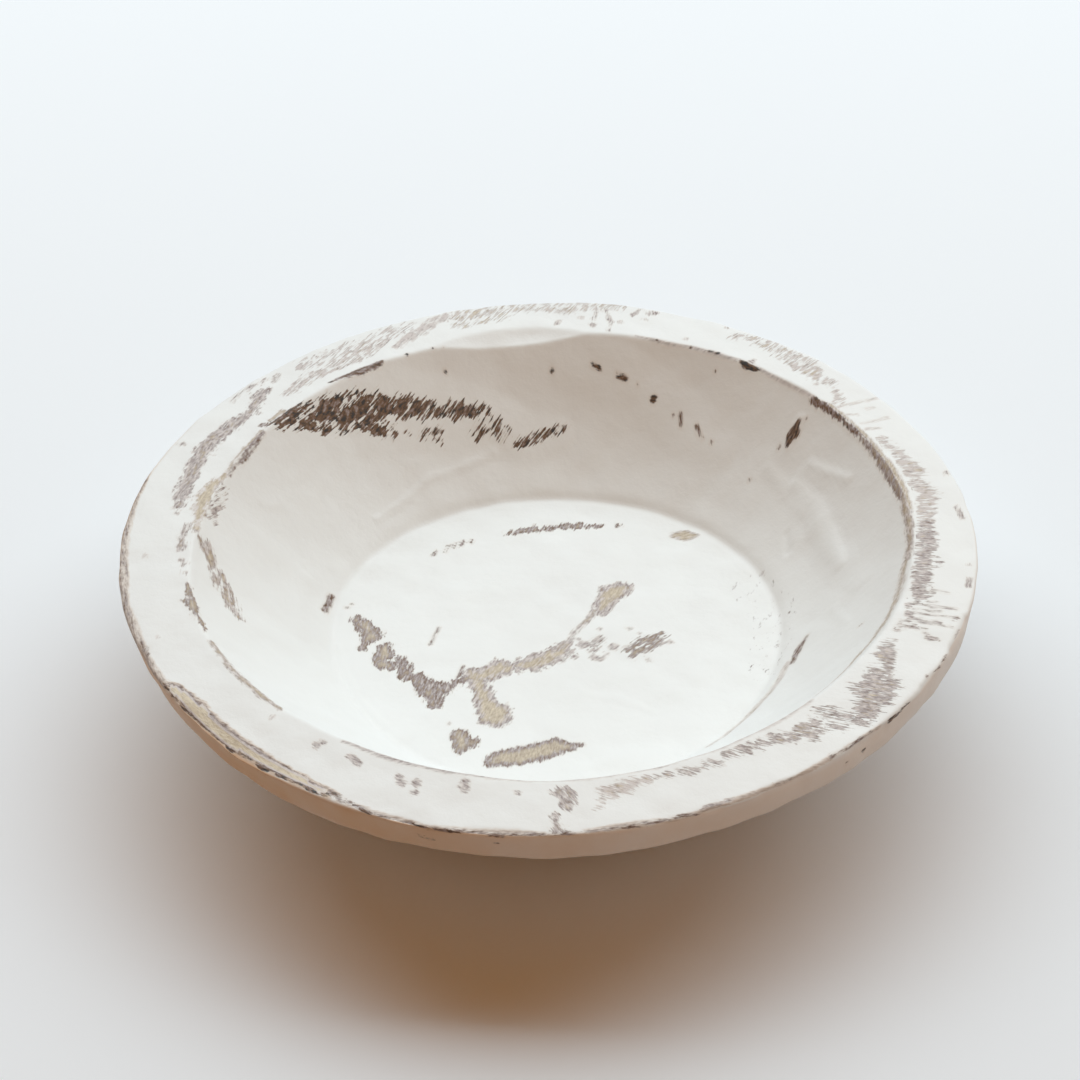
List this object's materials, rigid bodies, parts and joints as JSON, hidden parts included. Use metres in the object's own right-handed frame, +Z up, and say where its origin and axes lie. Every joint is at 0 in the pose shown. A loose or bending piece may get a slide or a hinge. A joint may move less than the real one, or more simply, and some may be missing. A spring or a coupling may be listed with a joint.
{
  "type": "wooden bowl",
  "caption": "Round hand-carved wooden bowl with a wide flat rim, sloping wall and flat floor, white paint worn back to stained wood, for holding fruit or decor.",
  "frame": {"origin": "centre of the flat foot, on the surface that the bowl stands on", "axes": "+Z up out of the hollow; -Y towards the viewer of the reference view, +X to that viewer's right"},
  "size_m": [0.2837, 0.2829, 0.058],
  "materials": {
    "painted_wood": "matt white paint over brown stain, sanded back in patches"
  },
  "bodies": {
    "root": {"bowl_body": "painted_wood"}
  },
  "joints": []
}
